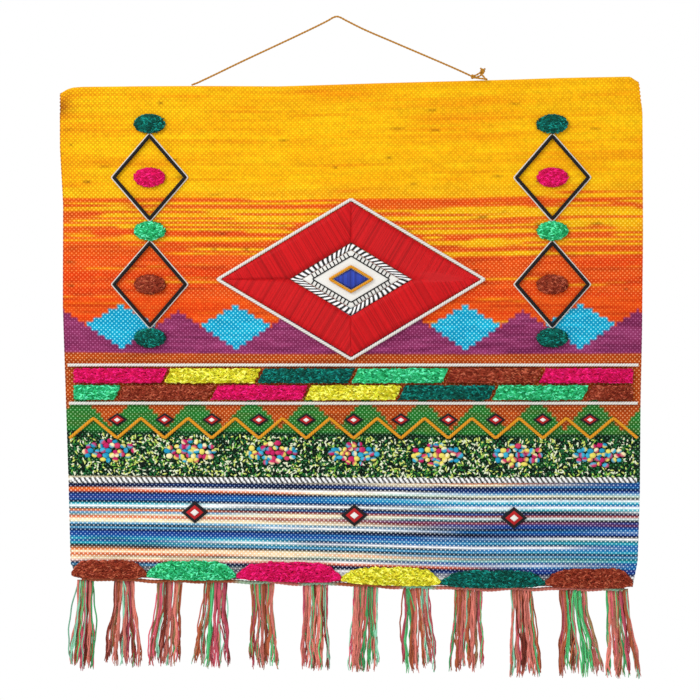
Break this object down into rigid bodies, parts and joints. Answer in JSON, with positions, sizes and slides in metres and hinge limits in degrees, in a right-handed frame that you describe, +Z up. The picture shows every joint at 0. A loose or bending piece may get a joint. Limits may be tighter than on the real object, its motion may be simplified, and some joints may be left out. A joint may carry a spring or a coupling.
{
  "type": "jute wall hanging",
  "caption": "Striped weft-faced jute wall hanging with a sewn diamond medallion, couched cords, tufted blocks and hem pads, a fringe below and a tied cord to hang it by.",
  "frame": {"origin": "top of the hanging cord, where a nail carries it", "axes": "+X to the right seen from the front, +Y back towards the wall, +Z up"},
  "size_m": [0.5245, 0.019, 0.5942],
  "materials": {
    "jute_cloth": "weft-faced jute weave in coloured stripes",
    "hem_twine": "twined dyed jute yarn",
    "fringe_yarn": "two-ply dyed jute yarn",
    "pile_magenta": "cut pile yarn",
    "pile_green": "cut pile yarn",
    "pile_teal": "cut pile yarn",
    "pile_yellow": "cut pile yarn",
    "pile_brown": "cut pile yarn",
    "satin_thread": "glossy satin stitch thread",
    "white_cord": "twisted white cotton cord",
    "black_cord": "black braid with a thin white line",
    "striped_braid": "flat black and white slanted braid",
    "white_felt": "wool felt",
    "blue_thread": "stitched yarn",
    "ochre_cord": "twisted cord",
    "hanging_cord": "two-ply jute twine"
  },
  "bodies": {
    "root": {"cloth": "jute_cloth", "hem_twine": "hem_twine", "fringe_01": "fringe_yarn", "fringe_02": "fringe_yarn", "fringe_03": "fringe_yarn", "fringe_04": "fringe_yarn", "fringe_05": "fringe_yarn", "fringe_06": "fringe_yarn", "fringe_07": "fringe_yarn", "fringe_08": "fringe_yarn", "fringe_09": "fringe_yarn", "fringe_10": "fringe_yarn", "fringe_11": "fringe_yarn", "fringe_12": "fringe_yarn", "hem_pad_1": "pile_brown", "hem_pad_2": "pile_green", "hem_pad_3": "pile_magenta", "hem_pad_4": "pile_yellow", "hem_pad_5": "pile_teal", "hem_pad_6": "pile_brown", "band_block_a1": "pile_magenta", "band_block_a2": "pile_yellow", "band_block_a3": "pile_teal", "band_block_a4": "pile_green", "band_block_a5": "pile_brown", "band_block_a6": "pile_magenta", "band_block_b1": "pile_green", "band_block_b2": "pile_brown", "band_block_b3": "pile_magenta", "band_block_b4": "pile_yellow", "band_block_b5": "pile_teal", "band_block_b6": "pile_green", "band_block_b7": "pile_brown", "medallion_satin": "satin_thread", "medallion_edge_cord": "white_cord", "medallion_braid": "striped_braid", "medallion_felt": "white_felt", "medallion_centre": "blue_thread", "medallion_centre_cord": "ochre_cord", "column_diamond_left_upper": "black_cord", "column_diamond_left_lower": "black_cord", "column_diamond_right_upper": "black_cord", "column_diamond_right_lower": "black_cord", "tuft_left_1": "pile_teal", "tuft_left_2": "pile_magenta", "tuft_left_3": "pile_green", "tuft_left_4": "pile_brown", "tuft_left_5": "pile_teal", "tuft_right_1": "pile_teal", "tuft_right_2": "pile_magenta", "tuft_right_3": "pile_green", "tuft_right_4": "pile_brown", "tuft_right_5": "pile_teal", "band_cord_upper": "white_cord", "band_cord_lower": "white_cord", "zigzag_cord": "ochre_cord", "lower_braid": "striped_braid", "hanging_cord": "hanging_cord", "hanging_knot": "hanging_cord"}
  },
  "joints": []
}
